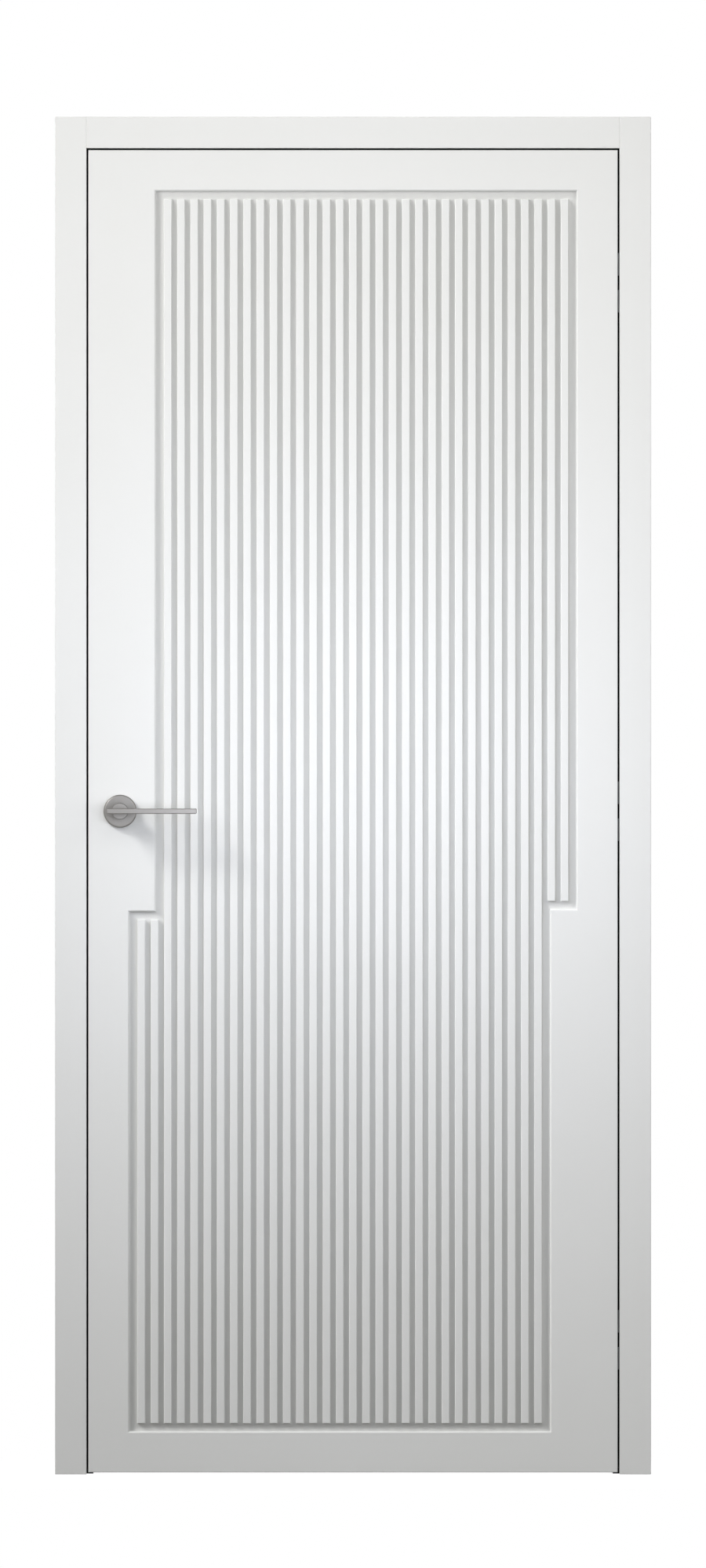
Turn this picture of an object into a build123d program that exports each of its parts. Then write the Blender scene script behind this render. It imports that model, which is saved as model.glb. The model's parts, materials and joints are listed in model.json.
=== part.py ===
from build123d import *
import os

# Interior door, closed in its frame, in millimetres.
# A flush painted leaf carries upright slats in a stepped recess, the same on both sides.
# It swings towards the viewer on three concealed hinges at the right, and a lever turns at the left.
# x = 0 is the wall face of the hinge jamb, y = 0 the middle of the wall, z = 0 the finished floor.
# The front, where the door opens to, looks along -Y.

# Leaf
leaf_w = 800.0
leaf_h = 2000.0
facing_t = 8.0
core_t = 28.0
gap = 3.0  # running gap between leaf and frame, at both sides and the head
floor_gap = 3.0
leaf_edge = 0.6  # arris round the leaf's faces

# Frame in the wall
jamb_t = 32.0
jamb_depth = 100.0
stop_w = 10.0
casing_w = 47.5
casing_t = 8.0
casing_edge = 0.5  # arris round the casings' faces, which draws their joints
relief_w = 8.0  # groove in the casing's back, where it lies on the plaster
relief_deep = 1.0
seal_t = 4.0
seal_round = 1.5
seal_play = 0.3  # between the seal and the closed leaf
seal_foot_w = 3.0  # foot pressed into a kerf in the stop
seal_foot = 5.5
kerf_play = 0.1

# Stepped recess and its slats
stile_min = 60.0
rail_w = 60.0
step_drop = 1150.0  # from the leaf's top down to the step
slat_w = 12.0
slat_gap = 8.0
slat_margin = 14.0  # from the slats to the recess's edge
step_slats = 2  # slats by which the two halves of the recess are offset
recess_bevel = 2.0  # inside the recess's outline
slat_edge = 0.8

# Concealed hinges: curved arms that slide half way out of each cup as the leaf opens
hinge_ends = 200.0  # from the leaf's top and bottom to the outer hinges
arm_r = 26.5  # inner radius of an arm, about the hinge line
arm_t = 5.0
arm_from = 28.0  # degrees from the hinge jamb at which an arm ends in its cup
arm_h = 34.0
arm_apart = 56.0  # between the centres of a hinge's two arms
arm_play = 0.35
arm_end_play = 3.0  # degrees left free beyond the end of a closed arm
arm_nose = 1.5
cup_front = 10.0  # from the leaf's front face to the cup
cup_w = 24.0
cup_h = 120.0
cup_deep = 29.5  # from the face plate's front
cup_play = 0.2
plate_w = 26.0  # face plate of a cup, let in flush
plate_h = 152.0
plate_t = 2.5

# Handle
handle_in = 48.0  # from the leaf's latch edge to the lever's axis
handle_up = 1000.0  # from the leaf's bottom edge to the lever's axis
rosette_d = 50.0
rosette_t = 8.0
rosette_edge = 2.0
neck_d = 24.0
neck_play = 0.1
neck_base_play = 0.5
lever_h = 8.0
lever_d = 18.0
lever_tail = 20.0  # from the axis to the lever's short end
lever_reach = 116.0  # from the axis to the lever's grip end
lever_out = 56.0  # from the leaf's face to the lever's front
lever_edge = 1.0
spindle_w = 8.0
spindle_hole_d = 18.0
spindle_grip = 15.0  # length of spindle held in each neck
spindle_fit = 0.05

# Latch
latch_h = 200.0
latch_w = 20.0
latch_t = 2.5
latch_drop = 30.0  # from the lever's axis down to the plate's middle
bolt_w = 12.0
bolt_h = 28.0
bolt_long = 20.0
bolt_edge = 1.0
bolt_play = 0.2
strike_deep = 12.0

# Places that follow from the sizes
leaf_t = core_t + 2 * facing_t
front_y = -jamb_depth / 2 - casing_t
core_y0 = front_y + facing_t
core_y1 = core_y0 + core_t
back_y = front_y + leaf_t
leaf_y = (front_y + back_y) / 2
stop_y = back_y + seal_play + seal_t
wall_y0 = -jamb_depth / 2
wall_y1 = jamb_depth / 2

hinge_face = -jamb_t
leaf_x1 = hinge_face - gap
leaf_x0 = leaf_x1 - leaf_w
latch_face = leaf_x0 - gap
mid_x = (hinge_face + latch_face) / 2

leaf_z0 = floor_gap
leaf_z1 = leaf_z0 + leaf_h
head_z = leaf_z1 + gap
frame_z1 = head_z + jamb_t
casing_z1 = head_z + casing_w

# Recess and slats, laid out from the leaf's width in whole slats
slat_pitch = slat_w + slat_gap
slat_count = int((leaf_w - 2 * stile_min - 2 * slat_margin + slat_gap) / slat_pitch)
recess_all_w = slat_count * slat_pitch - slat_gap + 2 * slat_margin
step_w = step_slats * slat_pitch
recess_x0 = (leaf_x0 + leaf_x1 - recess_all_w) / 2
recess_x1 = recess_x0 + recess_all_w
recess_z0 = leaf_z0 + rail_w
recess_z1 = leaf_z1 - rail_w
step_z = leaf_z1 - step_drop

kerf_y = stop_y + seal_foot + kerf_play

hinge_x = leaf_x1 + gap / 2
hinge_y = front_y
cup_y = front_y + cup_front + cup_w / 2
hinge_z = {
    "upper": leaf_z1 - hinge_ends,
    "middle": (leaf_z0 + leaf_z1) / 2,
    "lower": leaf_z0 + hinge_ends,
}
handle_x = leaf_x0 + handle_in
handle_z = leaf_z0 + handle_up
latch_z = handle_z - latch_drop

# Across the middle of the wall, the rear of the frame and leaf mirrors the front
MIDDLE_OF_DOOR = Plane.YZ.offset(mid_x)
MIDDLE_OF_LEAF = Plane.XZ.offset(-leaf_y)
MIDDLE_OF_WALL = Plane.XZ

os.makedirs("parts", exist_ok=True)


def save(name, shape):
    export_step(shape, f"parts/{name}.step")


def block(x0, x1, y0, y1, z0, z1):
    """A box between two corners."""
    size = (x1 - x0, y1 - y0, z1 - z0)
    return Pos(x0, y0, z0) * Box(*size, align=(Align.MIN, Align.MIN, Align.MIN))


def rod(d, x, z, y0, y1):
    """A round bar along Y."""
    circle = Plane((x, y0, z), x_dir=(1, 0, 0), z_dir=(0, 1, 0)) * Circle(d / 2)
    return extrude(circle, y1 - y0)


def edges_at_y(shape, y):
    """The edges that lie wholly in the plane at y."""
    return shape.edges().filter_by_position(Axis.Y, y - 0.01, y + 0.01)


def stadium(x, y, z, high, wide, depth, away):
    """A round-ended cup or plate that goes into an upright face at x, along away (+1 or -1)."""
    outline = Plane((x, y, z), x_dir=(0, 0, 1), z_dir=(away, 0, 0)) * SlotOverall(high, wide)
    return extrude(outline, depth)


def ring_sector(r0, r1, start, end, z0, z1):
    """A curved bar about the hinge line, from one angle to another."""
    outer = CenterArc((0, 0), r1, start, end - start)
    inner = CenterArc((0, 0), r0, start, end - start)
    ends = [Line(inner @ 0, outer @ 0), Line(inner @ 1, outer @ 1)]
    face = make_face([outer, inner] + ends)
    return Pos(hinge_x, hinge_y, z0) * extrude(face, z1 - z0)


def arm_heights(z):
    """The lower and upper end of each of the two arms of the hinge at z."""
    mids = (z - arm_apart / 2, z + arm_apart / 2)
    return [(m - arm_h / 2, m + arm_h / 2) for m in mids]


def hinge_cup(x, z, away, play=0.0):
    """A cup and its square face plate, let into an edge at x; play makes the pocket that takes it."""
    cup = stadium(x, cup_y, z, cup_h + 2 * play, cup_w + 2 * play, cup_deep + play, away)
    half_w, half_h = plate_w / 2 + play, plate_h / 2 + play
    plate_x = sorted((x, x + away * plate_t))
    return cup + block(*plate_x, cup_y - half_w, cup_y + half_w, z - half_h, z + half_h)


def plain_jamb():
    """The hinge jamb before any pocket: a board with a stop behind the leaf, kerfed for the seal."""
    board = block(hinge_face, 0, wall_y0, wall_y1, 0, frame_z1)
    stop = block(hinge_face - stop_w, hinge_face, stop_y, wall_y1, 0, head_z)
    kerf = block(*kerf_span(hinge_face - stop_w / 2), stop_y, kerf_y, 0, head_z)
    return board + stop - kerf


def kerf_span(mid):
    """The two sides of the kerf whose middle is given."""
    half = seal_foot_w / 2 + kerf_play
    return mid - half, mid + half


def make_jambs():
    hinge_jamb = plain_jamb()
    for z in hinge_z.values():
        hinge_jamb -= hinge_cup(hinge_face, z, 1, cup_play)
    save("hinge_jamb", hinge_jamb)

    plate = latch_plate(latch_face, -1)
    bolt_hole = latch_bolt_space(latch_face - latch_t - strike_deep, latch_face)
    save("latch_jamb", plain_jamb().mirror(MIDDLE_OF_DOOR) - plate - bolt_hole)

    board = block(latch_face, hinge_face, wall_y0, wall_y1, head_z, frame_z1)
    stop_x = (latch_face + stop_w, hinge_face - stop_w)
    stop = block(*stop_x, stop_y, wall_y1, head_z - stop_w, head_z)
    kerf = block(*stop_x, stop_y, kerf_y, *kerf_span(head_z - stop_w / 2))
    save("head_jamb", board + stop - kerf)


def upright_casing():
    """The front casing beside the hinge jamb, with softened front edges and a relieved back."""
    x1 = hinge_face + casing_w
    board = block(hinge_face, x1, front_y, wall_y0, 0, casing_z1)
    board = chamfer(edges_at_y(board, front_y), casing_edge)
    mid = x1 / 2
    relief = (mid - relief_w / 2, mid + relief_w / 2, wall_y0 - relief_deep, wall_y0)
    return board - block(*relief, 0, casing_z1)


def head_casing():
    """The front casing over the head jamb, butted between the two uprights."""
    board = block(latch_face, hinge_face, front_y, wall_y0, head_z, casing_z1)
    board = chamfer(edges_at_y(board, front_y), casing_edge)
    mid = (frame_z1 + casing_z1) / 2
    relief = (wall_y0 - relief_deep, wall_y0, mid - relief_w / 2, mid + relief_w / 2)
    return board - block(latch_face, hinge_face, *relief)


def make_casings():
    right, head = upright_casing(), head_casing()
    left = right.mirror(MIDDLE_OF_DOOR)
    for name, casing in {"right": right, "left": left, "head": head}.items():
        save(f"front_casing_{name}", casing)
        save(f"rear_casing_{name}", casing.mirror(MIDDLE_OF_WALL))


def make_seals():
    # Each seal is a soft strip over the whole stop, with a foot in the stop's kerf.
    seal_y = stop_y - seal_t
    foot = seal_foot_w / 2
    x0, x1 = hinge_face - stop_w, hinge_face
    mid = (x0 + x1) / 2
    right = block(x0, x1, seal_y, stop_y, 0, head_z)
    right = fillet(edges_at_y(right, seal_y).filter_by(Axis.Z), seal_round)
    right += block(mid - foot, mid + foot, stop_y, stop_y + seal_foot, 0, head_z)
    save("seal_right", right)
    save("seal_left", right.mirror(MIDDLE_OF_DOOR))

    x0, x1 = latch_face + stop_w, hinge_face - stop_w
    mid = head_z - stop_w / 2
    head = block(x0, x1, seal_y, stop_y, head_z - stop_w, head_z)
    head = fillet(edges_at_y(head, seal_y).filter_by(Axis.X), seal_round)
    save("seal_head", head + block(x0, x1, stop_y, stop_y + seal_foot, mid - foot, mid + foot))


def latch_plate(x, away):
    """The round-ended plate of the latch or its strike, let in flush at x, along away (+1 or -1)."""
    return stadium(x, leaf_y, latch_z, latch_h, latch_w, latch_t, away)


def latch_bolt_space(x0, x1, play=0.0):
    """The space of the bolt, level with the lever's axis, with play all round."""
    half_w, half_h = bolt_w / 2 + play, bolt_h / 2 + play
    return block(x0, x1, leaf_y - half_w, leaf_y + half_w, handle_z - half_h, handle_z + half_h)


def make_latch():
    forend = latch_plate(leaf_x0, 1) - latch_bolt_space(leaf_x0, leaf_x0 + latch_t, bolt_play)
    save("latch_forend", forend)

    bolt = latch_bolt_space(leaf_x0, leaf_x0 + bolt_long)
    mouth = bolt.faces().sort_by(Axis.X)[0]
    save("latch_bolt", chamfer(mouth.edges().filter_by(Axis.Z), bolt_edge))

    strike = latch_plate(latch_face, -1)
    save("strike_plate", strike - latch_bolt_space(latch_face - latch_t, latch_face, bolt_play))


def make_hinges():
    # Each cup is a solid block with two curved slots, and each arm reaches into both cups.
    slot_from = arm_from - arm_end_play
    slot_r = (arm_r - arm_play, arm_r + arm_t + arm_play)
    for place, z in hinge_z.items():
        frame_cup = hinge_cup(hinge_face, z, 1)
        leaf_cup = hinge_cup(leaf_x1, z, -1)
        arms = []
        for low, high in arm_heights(z):
            slot = ring_sector(*slot_r, slot_from, 180 - slot_from, low - arm_play, high + arm_play)
            frame_cup -= slot
            leaf_cup -= slot
            arm = ring_sector(arm_r, arm_r + arm_t, arm_from, 180 - arm_from, low, high)
            arms.append(chamfer(arm.edges().filter_by(Axis.Z), arm_nose))
        save(f"{place}_frame_hinge_cup", frame_cup)
        save(f"{place}_leaf_hinge_cup", leaf_cup)
        save(f"{place}_hinge_arms", Compound(children=arms))


def recess_outline():
    """The stepped recess seen from the front: the upper half is moved towards the hinges."""
    low_x1, high_x0 = recess_x1 - step_w, recess_x0 + step_w
    corners = [
        (recess_x0, recess_z0),
        (low_x1, recess_z0),
        (low_x1, step_z),
        (recess_x1, step_z),
        (recess_x1, recess_z1),
        (high_x0, recess_z1),
        (high_x0, step_z),
        (recess_x0, step_z),
    ]
    front = Plane((0, front_y, 0), x_dir=(1, 0, 0), z_dir=(0, -1, 0))
    return front * make_face(Polyline(*corners, close=True))


def on_outline(edge, x0, x1, z0, z1):
    """Whether an edge lies along the leaf's outer outline."""
    middle = edge.center()
    near = 0.01
    return min(abs(middle.X - x0), abs(middle.X - x1), abs(middle.Z - z0), abs(middle.Z - z1)) < near


def make_facings():
    board = block(leaf_x0, leaf_x1, front_y, core_y0, leaf_z0, leaf_z1)
    board -= rod(spindle_hole_d, handle_x, handle_z, front_y, core_y0)
    walls = offset(recess_outline(), -recess_bevel, kind=Kind.INTERSECTION)
    board -= extrude(walls, -facing_t)

    # The recess's edges are bevelled and the leaf's outer edges eased; the spindle hole is left sharp.
    lines = edges_at_y(board, front_y).filter_by(GeomType.LINE)
    inside = lines.filter_by_position(Axis.X, recess_x0 - 1, recess_x1 + 1)
    inside = inside.filter_by_position(Axis.Z, recess_z0 - 1, recess_z1 + 1)
    front = chamfer(inside, recess_bevel)
    rim = edges_at_y(front, front_y).filter_by(GeomType.LINE)
    outline = (leaf_x0, leaf_x1, leaf_z0, leaf_z1)
    front = chamfer(rim.filter_by(lambda e: on_outline(e, *outline)), leaf_edge)
    save("front_facing", front)
    save("rear_facing", front.mirror(MIDDLE_OF_LEAF))


def slat(k):
    """Slat k counted from the latch side; the outer ones only run in one half of the recess."""
    x0 = recess_x0 + slat_margin + k * slat_pitch
    z0, z1 = recess_z0 + slat_margin, recess_z1 - slat_margin
    if k < step_slats:
        z1 = step_z - slat_margin
    if k >= slat_count - step_slats:
        z0 = step_z + slat_margin
    strip = block(x0, x0 + slat_w, front_y, core_y0, z0, z1)
    return chamfer(edges_at_y(strip, front_y), slat_edge)


def make_slats():
    groups = {
        "short_slats_left": range(step_slats),
        "slats": range(step_slats, slat_count - step_slats),
        "short_slats_right": range(slat_count - step_slats, slat_count),
    }
    for name, numbers in groups.items():
        front = Compound(children=[slat(k) for k in numbers])
        rear = Compound(children=[slat(k).mirror(MIDDLE_OF_LEAF) for k in numbers])
        save(f"front_{name}", front)
        save(f"rear_{name}", rear)


def make_core():
    core = block(leaf_x0, leaf_x1, core_y0, core_y1, leaf_z0, leaf_z1)
    for z in hinge_z.values():
        core -= hinge_cup(leaf_x1, z, -1, cup_play)
    core -= rod(spindle_hole_d, handle_x, handle_z, core_y0, core_y1)
    core -= latch_plate(leaf_x0, 1)
    core -= latch_bolt_space(leaf_x0, leaf_x0 + bolt_long + bolt_play, bolt_play)
    save("leaf_core", core)


def make_handles():
    bore = neck_d + 2 * neck_play
    rosette = rod(rosette_d, handle_x, handle_z, front_y - rosette_t, front_y)
    rosette = chamfer(edges_at_y(rosette, front_y - rosette_t), rosette_edge)
    rosette -= rod(bore, handle_x, handle_z, front_y - rosette_t, front_y)

    lever_y0 = front_y - lever_out
    lever_y1 = lever_y0 + lever_d
    x0, x1 = handle_x - lever_tail, handle_x + lever_reach
    grip = block(x0, x1, lever_y0, lever_y1, handle_z - lever_h / 2, handle_z + lever_h / 2)
    grip = chamfer(grip.edges(), lever_edge)

    # The neck turns in the rosette and holds the square spindle.
    neck_y1 = front_y - neck_base_play
    neck = rod(neck_d, handle_x, handle_z, lever_y1, neck_y1)
    hole = spindle_w / 2 + spindle_fit
    hole_x = (handle_x - hole, handle_x + hole)
    hole_z = (handle_z - hole, handle_z + hole)
    neck -= block(*hole_x, neck_y1 - spindle_grip, neck_y1, *hole_z)

    for name, piece in {"rosette": rosette, "lever": grip, "lever_neck": neck}.items():
        save(f"front_{name}", piece)
        save(f"rear_{name}", piece.mirror(MIDDLE_OF_LEAF))

    half = spindle_w / 2
    reach = leaf_t / 2 - neck_base_play + spindle_grip
    spindle_x = (handle_x - half, handle_x + half)
    spindle_z = (handle_z - half, handle_z + half)
    save("spindle", block(*spindle_x, leaf_y - reach, leaf_y + reach, *spindle_z))


make_jambs()
make_casings()
make_seals()
make_latch()
make_hinges()
make_facings()
make_slats()
make_core()
make_handles()
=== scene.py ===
# %% [markdown]
# # An interior door with a slatted recess
#
# The real door is a flush leaf of fibreboard, sprayed with matt white enamel, that closes level with its
# casings. A recess is routed into the leaf, and upright slats stand in it. A satin nickel lever and a black
# rubber seal are the only other things that show.
#
# White on white is hard to render well: nothing has a colour of its own, so the door is drawn by shade
# alone. This lesson loads the carpentry as a fixed frame, adds the soft edges and the small fittings that a
# joiner would see, gives each part its real finish, and lights it so that every groove reads.

import json
import math

import bmesh
import bpy
from mathutils import Matrix, Vector


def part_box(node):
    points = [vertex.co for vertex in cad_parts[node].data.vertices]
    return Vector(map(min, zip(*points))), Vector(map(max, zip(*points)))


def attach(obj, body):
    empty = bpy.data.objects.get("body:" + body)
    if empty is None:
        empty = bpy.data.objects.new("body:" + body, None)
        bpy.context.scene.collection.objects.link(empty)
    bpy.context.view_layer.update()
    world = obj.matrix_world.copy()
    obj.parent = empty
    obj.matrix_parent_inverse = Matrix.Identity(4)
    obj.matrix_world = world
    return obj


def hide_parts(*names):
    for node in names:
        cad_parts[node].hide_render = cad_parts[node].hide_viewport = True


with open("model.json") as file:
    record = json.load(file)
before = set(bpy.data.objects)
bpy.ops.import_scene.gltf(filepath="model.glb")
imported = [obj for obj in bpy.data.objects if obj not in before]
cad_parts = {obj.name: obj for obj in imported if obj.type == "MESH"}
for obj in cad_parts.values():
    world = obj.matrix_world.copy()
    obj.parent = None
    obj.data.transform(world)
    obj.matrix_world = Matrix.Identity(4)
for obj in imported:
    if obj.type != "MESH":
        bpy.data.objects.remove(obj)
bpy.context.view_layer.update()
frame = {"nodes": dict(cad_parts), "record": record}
nodes = frame["nodes"]

# %% [markdown]
# ## Sizes
#
# Everything is placed from the corners of the loaded pieces, so no size is written twice. The front of the
# door looks along -Y, and the lever turns about a line that runs through the middle of the round rosette.

# %% Read the places that the lesson needs
MM = 0.001
leaf_low, leaf_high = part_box("leaf_core")
face_low, face_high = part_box("front_facing")
rosette_low, rosette_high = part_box("front_rosette")

front_y = face_low.y
door_x = (leaf_low.x + leaf_high.x) / 2
lever_x = (rosette_low.x + rosette_high.x) / 2
lever_z = (rosette_low.z + rosette_high.z) / 2
leaf_y = (leaf_low.y + leaf_high.y) / 2
print("leaf", round((leaf_high.x - leaf_low.x) / MM), "mm wide, lever axis at", round(lever_z / MM), "mm")

# %% [markdown]
# ## The camera
#
# The picture is a catalogue view: straight on, with almost no perspective, so that the door's sides stay
# upright. A long lens from far away gives that. The height of the picture at the door's face is known, and
# the distance follows from it: picture height = sensor height x distance / focal length.

# %% Place a long lens in front of the door
PICTURE_HIGH = 2.3718
PICTURE_FOOT = 0.1417  # how far the picture reaches below the floor line
LENS = 600.0
SENSOR = 36.0

camera = bpy.data.objects.new("camera", bpy.data.cameras.new("camera"))
bpy.context.scene.collection.objects.link(camera)
camera.data.lens = LENS
camera.data.sensor_width = SENSOR
distance = PICTURE_HIGH * LENS / SENSOR
camera.location = (door_x, front_y - distance, PICTURE_HIGH / 2 - PICTURE_FOOT)
camera.rotation_euler = (math.pi / 2, 0, 0)
camera.data.clip_start = 1.0
camera.data.clip_end = 2 * distance
bpy.context.scene.camera = camera
print("camera", round(distance, 1), "m away")

# %% [markdown]
# ## Tools for materials
#
# A material in Blender is a graph of nodes. Two small functions keep the graphs readable: one turns a
# colour as it is written in sRGB hex into the linear numbers that the renderer wants, and one adds a node,
# sets what it needs and links its inputs.

# %% Colour and node helpers
def linear(hex_colour):
    """An sRGB colour such as #f0f1f0 as linear red, green, blue and alpha."""
    parts = [int(hex_colour[i:i + 2], 16) / 255 for i in (1, 3, 5)]
    return [p / 12.92 if p <= 0.04045 else ((p + 0.055) / 1.055) ** 2.4 for p in parts] + [1.0]


def node(tree, kind, settings=None, **inputs):
    """Adds a node. Settings are its own properties; inputs are values, or sockets to link from.

    An input is given by its name, or as n0, n1 and so on by its number.
    """
    new = tree.nodes.new(kind)
    for name, value in (settings or {}).items():
        setattr(new, name, value)
    for name, value in inputs.items():
        numbered = name[0] == "n" and name[1:].isdigit()
        socket = new.inputs[int(name[1:]) if numbered else name]
        if isinstance(value, bpy.types.NodeSocket):
            tree.links.new(value, socket)
        else:
            socket.default_value = value
    return new


def new_material(name):
    """An empty material, its node tree and its output node."""
    material = bpy.data.materials.new(name)
    material.use_nodes = True
    material.node_tree.nodes.clear()
    return material, material.node_tree, material.node_tree.nodes.new("ShaderNodeOutputMaterial")


def surface(tree, output, base, bump, **settings):
    """A Principled surface with its base colour and bump linked; settings are the shader's own sockets."""
    shader = node(tree, "ShaderNodeBsdfPrincipled", **{"Base Color": base, "Normal": bump}, **settings)
    tree.links.new(shader.outputs["BSDF"], output.inputs["Surface"])
    return shader


# %% [markdown]
# ## White enamel
#
# The fibreboard is primed, sanded and sprayed with a matt polyurethane enamel. Sprayed paint never dries
# quite flat: it has a faint orange peel about 2 mm across, and its film varies very slightly in shade over
# a hand's breadth. The gloss is low, so the roughness is about 0.5, and the IOR is that of any clear resin,
# 1.5. The peel of a good job is only a few thousandths of a millimetre deep, so it is drawn a little deeper
# here, or it would never show.
#
# The floor of the recess is drawn a shade greyer and duller than the faces, which lets the slats stand out.
# The grey is painted shade: it stands in for the shade that falls into the recess between the slats, and
# how much greyer was matched to the look of the real door. A thinner film, where a spray gun doesn't reach
# well between slats, could be the cause. That is a guess: deeper grooves or other light would do it too.

# %% Spray the enamel
PEEL = 2.2 * MM
PEEL_DEPTH = 0.03 * MM
SHADE_PATCH = 180 * MM
FACES_FRONT = 0.7  # how far a surface must face the front or rear to count as the recess's floor


def slow_shade(tree, place, light, dark):
    """A colour that drifts between two close shades over a hand's breadth."""
    patches = node(tree, "ShaderNodeTexNoise", Vector=place, Scale=1 / SHADE_PATCH, Detail=2.0)
    shade = node(tree, "ShaderNodeMix", {"data_type": "RGBA"}, n0=patches.outputs["Fac"],
                 n6=linear(dark), n7=linear(light))
    return shade.outputs[2]


def white_enamel(name, shades, painted_shade_colours=None, roughness=0.5):
    """Matt sprayed enamel with a faint orange peel; painted shade colours show where a board faces front or
    rear.
    """
    material, tree, output = new_material(name)
    coordinates = node(tree, "ShaderNodeTexCoord").outputs
    place = coordinates["Object"]
    colour = slow_shade(tree, place, *shades)
    # Painted shade: where the board faces front or rear, the colour turns to the greyer painted shade
    # colours.
    if painted_shade_colours:
        facing = node(tree, "ShaderNodeSeparateXYZ", Vector=coordinates["Normal"])
        size = node(tree, "ShaderNodeMath", {"operation": "ABSOLUTE"}, n0=facing.outputs["Y"])
        floor = node(tree, "ShaderNodeMath", {"operation": "GREATER_THAN"},
                     n0=size.outputs[0], n1=FACES_FRONT)
        either = node(tree, "ShaderNodeMix", {"data_type": "RGBA"}, n0=floor.outputs[0],
                      n6=colour, n7=slow_shade(tree, place, *painted_shade_colours))
        colour = either.outputs[2]
    peel = node(tree, "ShaderNodeTexNoise", Vector=place, Scale=1 / PEEL, Detail=1.0)
    bump = node(tree, "ShaderNodeBump", Strength=0.25, Distance=PEEL_DEPTH, Height=peel.outputs["Fac"])
    surface(tree, output, colour, bump.outputs["Normal"], Roughness=roughness, IOR=1.5)
    return material


ENAMEL_SHADES = ("#f2f2f0", "#efefec")
# The greyer pair is painted shade for the recess's floor, standing in for the shade that falls between the
# slats.
RECESS_PAINTED_SHADE = ("#e2e2e0", "#dfdfdc")
enamel = white_enamel("matt_white_enamel_on_fibreboard", ENAMEL_SHADES)
recess_enamel_with_painted_shade = white_enamel("white_enamel_with_painted_shade_between_slats", ENAMEL_SHADES, RECESS_PAINTED_SHADE, 0.6)
print("enamel with a peel of", round(PEEL / MM, 1), "mm")

# %% [markdown]
# ## Satin nickel, stainless steel and zinc
#
# The handle is a zinc or brass casting, ground with a fine belt and plated with nickel. Nickel is a warm
# grey metal. The belt leaves fine lines along the lever, which spread a reflection across them, so the
# shine is soft. The real lines are about 0.05 mm apart. They are drawn 0.3 mm apart so that they show.
#
# The latch's plates are stainless steel sheet, brushed upright, and a little shinier. The hinges are cast
# zinc with a satin chrome plate, which has no grain: it is cooler in colour, and the dullest of the three.
# The metals keep the default IOR, because their colour already says how much they reflect.
#
# All three are drawn darker than the bare metals are. The nickel was matched to the tone of the real lever,
# and the other two, which nobody sees with the door closed, follow it: in white light all round they glare.

# %% Grind and plate the metals
GRIND = 0.3 * MM
ROUGH_SWING = 0.05  # how much the roughness varies between the lines


def brushed_metal(name, colour, shade, roughness, grain, depth):
    """Ground metal: grain says how many times longer the scratches are along X, Y and Z."""
    material, tree, output = new_material(name)
    place = node(tree, "ShaderNodeTexCoord").outputs["Object"]
    stretch = node(tree, "ShaderNodeMapping", Vector=place, Scale=[1 / g for g in grain])
    lines = node(tree, "ShaderNodeTexNoise", Vector=stretch.outputs["Vector"], Scale=1 / GRIND, Detail=3.0)
    tone = node(tree, "ShaderNodeMix", {"data_type": "RGBA"}, n0=lines.outputs["Fac"],
                n6=linear(shade), n7=linear(colour))
    rough = node(tree, "ShaderNodeMapRange", Value=lines.outputs["Fac"], **{
        "To Min": roughness - ROUGH_SWING, "To Max": roughness + ROUGH_SWING})
    bump = node(tree, "ShaderNodeBump", Strength=0.3, Distance=depth, Height=lines.outputs["Fac"])
    surface(tree, output, tone.outputs[2], bump.outputs["Normal"], Metallic=1.0,
            Roughness=rough.outputs["Result"])
    return material


nickel = brushed_metal("satin_nickel_plate", "#878582", "#7c7a77", 0.36, (30, 1, 1), 0.02 * MM)
stainless = brushed_metal("brushed_stainless_steel", "#9f9e9c", "#929190", 0.34, (1, 1, 30), 0.02 * MM)
zinc = brushed_metal("satin_chromed_zinc", "#8e8f91", "#828385", 0.42, (2, 2, 2), 0.01 * MM)
print("metals with lines", round(GRIND / MM, 2), "mm apart")

# %% [markdown]
# ## Black rubber
#
# The seal is an extruded rubber profile pressed into a groove of the stop. Extruded rubber is a deep grey
# rather than black, dull, and a bloom makes its skin a little uneven. Its IOR is about 1.52.

# %% Extrude the rubber
RUBBER_GRAIN = 0.6 * MM
RUBBER_DEPTH = 0.05 * MM


def extruded_rubber(name):
    """Dull dark rubber with a fine uneven skin."""
    material, tree, output = new_material(name)
    place = node(tree, "ShaderNodeTexCoord").outputs["Object"]
    skin = node(tree, "ShaderNodeTexNoise", Vector=place, Scale=1 / RUBBER_GRAIN, Detail=4.0)
    shade = node(tree, "ShaderNodeMix", {"data_type": "RGBA"}, n0=skin.outputs["Fac"],
                 n6=linear("#1c1c1d"), n7=linear("#2a2a2b"))
    bump = node(tree, "ShaderNodeBump", Strength=0.4, Distance=RUBBER_DEPTH, Height=skin.outputs["Fac"])
    surface(tree, output, shade.outputs[2], bump.outputs["Normal"], Roughness=0.7, IOR=1.52)
    return material


rubber = extruded_rubber("extruded_black_rubber")
print("rubber with a grain of", round(RUBBER_GRAIN / MM, 1), "mm")

# %% [markdown]
# ## Finish the loaded pieces
#
# Each loaded piece has a material slot named in its record. One table gives each slot its finish. The
# leaf's core is the one exception, since its faces are the floor of the recess, which gets a painted shade.

# %% Give each piece its finish
finishes = {
    "white_enamel": enamel,
    "black_seal": rubber,
    "satin_nickel": nickel,
    "hinge_steel": zinc,
    "latch_steel": stainless,
}
for row in frame["record"]["subparts"]:
    mesh = nodes[row["node"]].data
    mesh.materials.clear()
    mesh.materials.append(finishes[row["material_slot"]])
# The leaf's core, the floor of the recess, takes the enamel with the painted shade.
nodes["leaf_core"].data.materials[0] = recess_enamel_with_painted_shade
print(len(nodes), "pieces finished")

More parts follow.
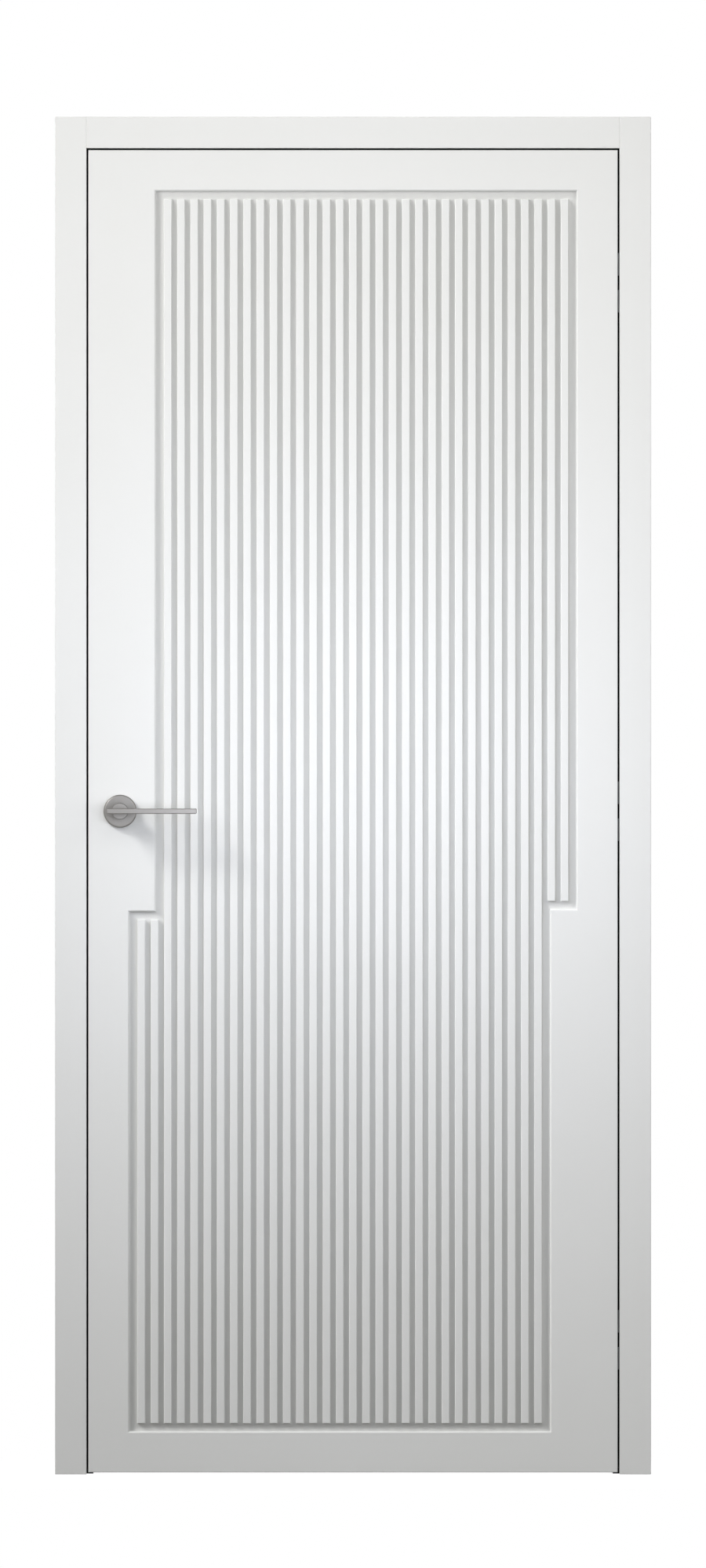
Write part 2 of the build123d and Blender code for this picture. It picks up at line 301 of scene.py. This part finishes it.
# %% [markdown]
# ## Soft edges
#
# No edge of a sprayed door is a sharp line: the arris is sanded, and the paint film pulls into a small
# round. Ground metal is the same. That round catches a thin light, which is most of what the eye reads as a
# real edge. Each piece with edges that show is copied, its triangles are joined back into whole faces, its
# edges are rounded, and the copy takes the place of the plain piece.

# %% Round the edges that show
PAINT_ROUND = 0.3 * MM
METAL_ROUND = 0.45 * MM
SHARP = math.radians(20)  # an edge bent by more than this gets a round
FLAT = math.radians(1)  # faces that meet at less than this are one face
WELD, SLIVER = 0.001 * MM, 0.01 * MM

body_of = {name: body for body, names in frame["record"]["behaviour"]["bodies"].items() for name in names}
slot_of = {row["node"]: row["material_slot"] for row in frame["record"]["subparts"]}


def add_piece(name, shape, body, slot):
    """Turns a bmesh shape into a finished piece that moves with a body."""
    bmesh.ops.recalc_face_normals(shape, faces=shape.faces)
    for face in shape.faces:
        face.smooth = True
    mesh = bpy.data.meshes.new(name)
    shape.to_mesh(mesh)
    shape.free()
    mesh.materials.append(finishes[slot])
    piece = bpy.data.objects.new(name, mesh)
    bpy.context.scene.collection.objects.link(piece)
    piece.modifiers.new("even shading", "WEIGHTED_NORMAL").keep_sharp = True
    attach(piece, body)
    return piece


def rounded(name, width, segments=2):
    """A copy of a loaded piece with rounded edges, which takes that piece's place."""
    shape = bmesh.new()
    shape.from_mesh(nodes[name].data)
    shape.transform(nodes[name].matrix_world)
    bmesh.ops.remove_doubles(shape, verts=shape.verts, dist=WELD)
    bmesh.ops.dissolve_limit(shape, angle_limit=FLAT, verts=shape.verts, edges=shape.edges)
    sharp = [e for e in shape.edges if e.is_manifold and e.calc_face_angle() > SHARP]
    bmesh.ops.bevel(shape, geom=sharp, offset=width, segments=segments, profile=0.5,
                    affect="EDGES", clamp_overlap=True)
    # Where two rounds meet on a narrow chamfer, no sliver of it is left between them.
    bmesh.ops.dissolve_degenerate(shape, dist=SLIVER, edges=shape.edges)
    piece = add_piece(f"{name}_rounded", shape, body_of[name], slot_of[name])
    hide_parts(name)
    return piece


wooden = [n for n in nodes if "slats" in n or "casing" in n or n.endswith("_facing")]
for name in wooden:
    rounded(name, PAINT_ROUND)
METAL_ENDINGS = ("_bolt", "_lever", "_lever_neck", "_rosette", "_hinge_arms")
metal = [n for n in nodes if n.endswith(METAL_ENDINGS)]
for name in metal:
    rounded(name, METAL_ROUND, 3)
print(len(wooden), "wooden and", len(metal), "metal pieces rounded")

# %% [markdown]
# ## Screws
#
# Each hinge plate is held by two countersunk screws with a cross recess, and so are the latch's plate and
# its strike. A raised head fills its countersink and stands half a millimetre proud. The screw that locks
# the lever on its spindle is a small one with a hexagonal socket, under the neck, where nobody sees it.
#
# The head is built in rings round the outline of its recess, so that the recess has clean straight walls.

# %% Model a screw head and drive the screws
CROSS_ARM, CROSS_HALF = 1.9 * MM, 0.55 * MM
HEX_SIZE = 1.15 * MM
RING_POINTS = 36
RECESS_TAPER, RECESS_SHARE = 0.55, 0.7  # how narrow and how deep the recess is at its bottom
PROUD, HEAD_HIGH = 0.5 * MM, 1.9 * MM
CROWN, SHOULDER, EDGE = 0.97, 0.75, 0.15  # heights of the head's rings, as shares of what stands proud
GRUB_RADIUS, GRUB_PROUD, GRUB_HIGH = 2.0 * MM, 0.05 * MM, 2.0 * MM


def turned(point, quarter):
    """A point turned by quarters of a circle."""
    x, y = point
    for _ in range(quarter):
        x, y = -y, x
    return x, y


cross_arm = [(CROSS_ARM, -CROSS_HALF), (CROSS_ARM, CROSS_HALF), (CROSS_HALF, CROSS_HALF)]
cross = [turned(p, quarter) for quarter in range(4) for p in cross_arm]
sixths = [i * math.tau / 6 for i in range(6)]
hexagon = [(HEX_SIZE * math.cos(a), HEX_SIZE * math.sin(a)) for a in sixths]


def ring(shape, angles, radius, height):
    """A ring of points at the given angles."""
    return [shape.verts.new((radius * math.cos(a), radius * math.sin(a), height)) for a in angles]


def skin(shape, inner, outer):
    """Faces between two rings; the outer ring has the same number of points, or a multiple of it."""
    share = len(outer) // len(inner)
    for i, point in enumerate(inner):
        arc = [outer[(i * share + j) % len(outer)] for j in range(share + 1)]
        shape.faces.new([point] + arc + [inner[(i + 1) % len(inner)]])


def screw(name, recess, radius, rise, depth, place, out, body, slot):
    """A screw head that looks along out; rise is how far it stands proud, depth is its full height."""
    shape = bmesh.new()
    corners = [math.atan2(y, x) % math.tau for x, y in recess]
    share = RING_POINTS // len(recess)
    fine = []
    for i, start in enumerate(corners):
        step = ((corners[(i + 1) % len(corners)] - start) % math.tau) / share
        fine += [start + j * step for j in range(share)]
    floor = [shape.verts.new((RECESS_TAPER * x, RECESS_TAPER * y, rise - RECESS_SHARE * depth))
             for x, y in recess]
    lip = [shape.verts.new((x, y, rise)) for x, y in recess]
    widest = max(math.hypot(x, y) for x, y in recess)
    crown = ring(shape, corners, (2 * widest + radius) / 3, CROWN * rise)
    shoulder = ring(shape, fine, (widest + 3 * radius) / 4, SHOULDER * rise)
    edge = ring(shape, fine, radius, EDGE * rise)
    foot = ring(shape, fine, radius, rise - depth)
    shape.faces.new(floor)
    for inner, outer in ((floor, lip), (lip, crown), (crown, shoulder), (shoulder, edge), (edge, foot)):
        skin(shape, inner, outer)
    shape.faces.new(list(reversed(foot)))
    aim = Vector(out).to_track_quat("Z", "Y").to_matrix().to_4x4()
    shape.transform(Matrix.Translation(place) @ aim)
    return add_piece(name, shape, body, slot)


def plate_screws(plate, out, inset, radius):
    """Two screws, near the top and the bottom of a plate let into an edge that looks along out."""
    low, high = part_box(plate)
    face_x = low.x if out < 0 else high.x
    y = (low.y + high.y) / 2
    for end, z in (("bottom", low.z + inset), ("top", high.z - inset)):
        screws.append(screw(f"{plate}_{end}_screw", cross, radius, PROUD, HEAD_HIGH, (face_x, y, z),
                            (out, 0, 0), body_of[plate], slot_of[plate]))


HINGE_SCREW = {"inset": 8 * MM, "radius": 3.8 * MM}
LATCH_SCREW = {"inset": 12 * MM, "radius": 3.4 * MM}

screws = []
for place in ("upper", "middle", "lower"):
    plate_screws(f"{place}_leaf_hinge_cup", 1, **HINGE_SCREW)
    plate_screws(f"{place}_frame_hinge_cup", -1, **HINGE_SCREW)
plate_screws("latch_forend", -1, **LATCH_SCREW)
plate_screws("strike_plate", 1, **LATCH_SCREW)

for side in ("front", "rear"):
    neck_low, neck_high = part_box(f"{side}_lever_neck")
    underneath = (lever_x, (neck_low.y + neck_high.y) / 2, neck_low.z)
    screws.append(screw(f"{side}_grub_screw", hexagon, GRUB_RADIUS, GRUB_PROUD, GRUB_HIGH, underneath,
                        (0, 0, -1), "lever", "latch_steel"))
print(len(screws), "screws driven")

# %% [markdown]
# ## The stage
#
# A catalogue picture stands on plain white. The floor and the world are white where the camera, a gloss or
# a glass looks at them, but the light that they send to the door is dim: white all round would flatten the
# shade that draws the slats. Close to the door the floor still takes a faint shadow, and that fades into
# plain white a metre away, so that no edge of the floor shows.

# %% Lay the white floor
FLOOR_HALF = 14.0
FLOOR_BOUNCE = "#6a6a6a"
SHADOW_SHARE = 0.3
SHADOW_REACH = (1.3, 0.9, 1.0)  # metres from the door, along X, Y and Z
FLOOR_LIT = 0.5  # how bright the lamps make white paper at the door's foot


def seen_directly(tree):
    """1 where the camera, a reflection or a refraction looks, and 0 for light that only bounces."""
    path = node(tree, "ShaderNodeLightPath").outputs
    both = node(tree, "ShaderNodeMath", {"operation": "MAXIMUM"},
                n0=path["Is Camera Ray"], n1=path["Is Glossy Ray"])
    every = node(tree, "ShaderNodeMath", {"operation": "MAXIMUM"},
                 n0=both.outputs[0], n1=path["Is Transmission Ray"])
    return every.outputs[0]


def white_floor():
    """A floor that looks white, takes a faint shadow near the door, and bounces little light."""
    material, tree, output = new_material("white_studio_floor")
    bounce = node(tree, "ShaderNodeBsdfDiffuse", Color=linear(FLOOR_BOUNCE))
    paper = node(tree, "ShaderNodeBsdfDiffuse", Color=linear("#ffffff"))
    place = node(tree, "ShaderNodeNewGeometry").outputs["Position"]
    near = node(tree, "ShaderNodeMapping", {"vector_type": "TEXTURE"}, Vector=place,
                Location=(door_x, leaf_y, 0), Scale=SHADOW_REACH)
    fade = node(tree, "ShaderNodeTexGradient", {"gradient_type": "SPHERICAL"},
                Vector=near.outputs["Vector"])
    share = node(tree, "ShaderNodeMath", {"operation": "MULTIPLY"},
                 n0=fade.outputs["Fac"], n1=SHADOW_SHARE)
    full_lift = (1 - SHADOW_SHARE * FLOOR_LIT) / (1 - SHADOW_SHARE)
    lift = node(tree, "ShaderNodeMapRange", Value=share.outputs[0], **{
        "From Max": SHADOW_SHARE, "To Min": 1.0, "To Max": full_lift})
    glow = node(tree, "ShaderNodeEmission", Color=linear("#ffffff"), Strength=lift.outputs["Result"])
    lit = node(tree, "ShaderNodeMixShader", n0=share.outputs[0],
               n1=glow.outputs[0], n2=paper.outputs[0])
    shown = node(tree, "ShaderNodeMixShader", n0=seen_directly(tree),
                 n1=bounce.outputs[0], n2=lit.outputs[0])
    tree.links.new(shown.outputs[0], output.inputs["Surface"])
    return material


floor_mesh = bpy.data.meshes.new("floor")
signs = ((-1, -1), (1, -1), (1, 1), (-1, 1))
floor_corners = [(door_x + sx * FLOOR_HALF, sy * FLOOR_HALF, 0) for sx, sy in signs]
floor_mesh.from_pydata(floor_corners, [], [(0, 1, 2, 3)])
floor = bpy.data.objects.new("floor", floor_mesh)
bpy.context.scene.collection.objects.link(floor)
floor_mesh.materials.append(white_floor())

AMBIENT_STRENGTH = 0.02

world = bpy.data.worlds.new("studio")
bpy.context.scene.world = world
world.use_nodes = True
sky = world.node_tree
sky.nodes.clear()
dim = node(sky, "ShaderNodeBackground", Color=linear("#ffffff"), Strength=AMBIENT_STRENGTH)
white = node(sky, "ShaderNodeBackground", Color=linear("#ffffff"), Strength=1.0)
both = node(sky, "ShaderNodeMixShader", n0=seen_directly(sky), n1=dim.outputs[0], n2=white.outputs[0])
node(sky, "ShaderNodeOutputWorld", Surface=both.outputs[0])
print("world at", AMBIENT_STRENGTH, "for bounced light")

# %% [markdown]
# ## The lamps
#
# Softboxes stand above head height, left and right of the camera, with their beams narrowed so that the
# foot of the door falls into shade. The left ones are big, which keeps their shadows soft. A wide fill low
# at the right evens out the grooves, and a small lamp close to the leaf makes its middle brightest. The key
# comes from the upper left, like a window sun: it lights the faces, misses the floor of the recess, and
# throws the lever's shadow down to the right. Two more lamps behind the door light its rear face.

# %% Softboxes, fill and key lamp
LAMP_AWAY = 2.0
SIDE = 2.2
REAR_SIDE, REAR_AWAY = 0.9, 2.4
CLOSE, NARROW, BROAD, WIDE = 90.0, 110.0, 130.0, 180.0  # spreads of the beams in degrees
COOL = "#edf2ff"  # the middle of the door looks a shade cooler than its ends


def area_lamp(name, place, target, size, watts, spread=WIDE, colour="#ffffff"):
    """A square lamp that faces its target; place and target are measured from the foot of the face."""
    foot = Vector((door_x, front_y, 0))
    lamp = bpy.data.lights.new(name, "AREA")
    lamp.shape = "SQUARE"
    lamp.size = size
    lamp.energy = watts
    lamp.spread = math.radians(spread)
    lamp.color = linear(colour)[:3]
    holder = bpy.data.objects.new(name, lamp)
    bpy.context.scene.collection.objects.link(holder)
    aim = Vector(target) - Vector(place)
    holder.location = foot + Vector(place)
    holder.rotation_euler = aim.to_track_quat("-Z", "Y").to_euler()
    holder.visible_camera = False
    print(name, "at", [round(c, 2) for c in place], "with", watts, "W")
    return holder


area_lamp("left_high_softbox", (-SIDE, -LAMP_AWAY, 2.5), (0, 0, 1.8), 1.7, 11.4, NARROW)
area_lamp("right_high_softbox", (SIDE, -LAMP_AWAY, 2.5), (0, 0, 1.8), 1.0, 5.4, NARROW)
area_lamp("left_softbox", (-SIDE, -LAMP_AWAY, 2.1), (0, 0, 1.35), 1.7, 5.9, NARROW)
area_lamp("top", (0, -LAMP_AWAY, 2.6), (0, 0, 1.9), 1.0, 2.3, CLOSE)
area_lamp("right_fill", (SIDE, -LAMP_AWAY, 0.9), (0, 0, 1.1), 1.0, 12.8)
area_lamp("middle", (0, -0.9, 1.06), (0, 0, 1.03), 0.5, 1.9, BROAD, COOL)
for side in (-1, 1):
    area_lamp(f"rear_softbox_{side:+d}", (side * REAR_SIDE, REAR_AWAY, 1.8), (0, 0, 1.1), 1.0, 30.0)

KEY_DIRECTION = (1.6, 1.0, -1.6)  # steep enough that the recess's edge shades its floor
KEY_STRENGTH = 1.35
KEY_ANGLE = 12  # degrees: the lever's shadow is soft
key = bpy.data.lights.new("key", "SUN")
key.energy = KEY_STRENGTH
key.angle = math.radians(KEY_ANGLE)
key_holder = bpy.data.objects.new("key", key)
bpy.context.scene.collection.objects.link(key_holder)
key_holder.rotation_euler = Vector(KEY_DIRECTION).to_track_quat("-Z", "Y").to_euler()
print("key lamp shines along", KEY_DIRECTION)

# %% [markdown]
# ## Close the lesson
#
# The colours go out as they are, with the Standard view transform.

# %% Set the view and finish
scene = bpy.context.scene
scene.view_settings.view_transform = "Standard"
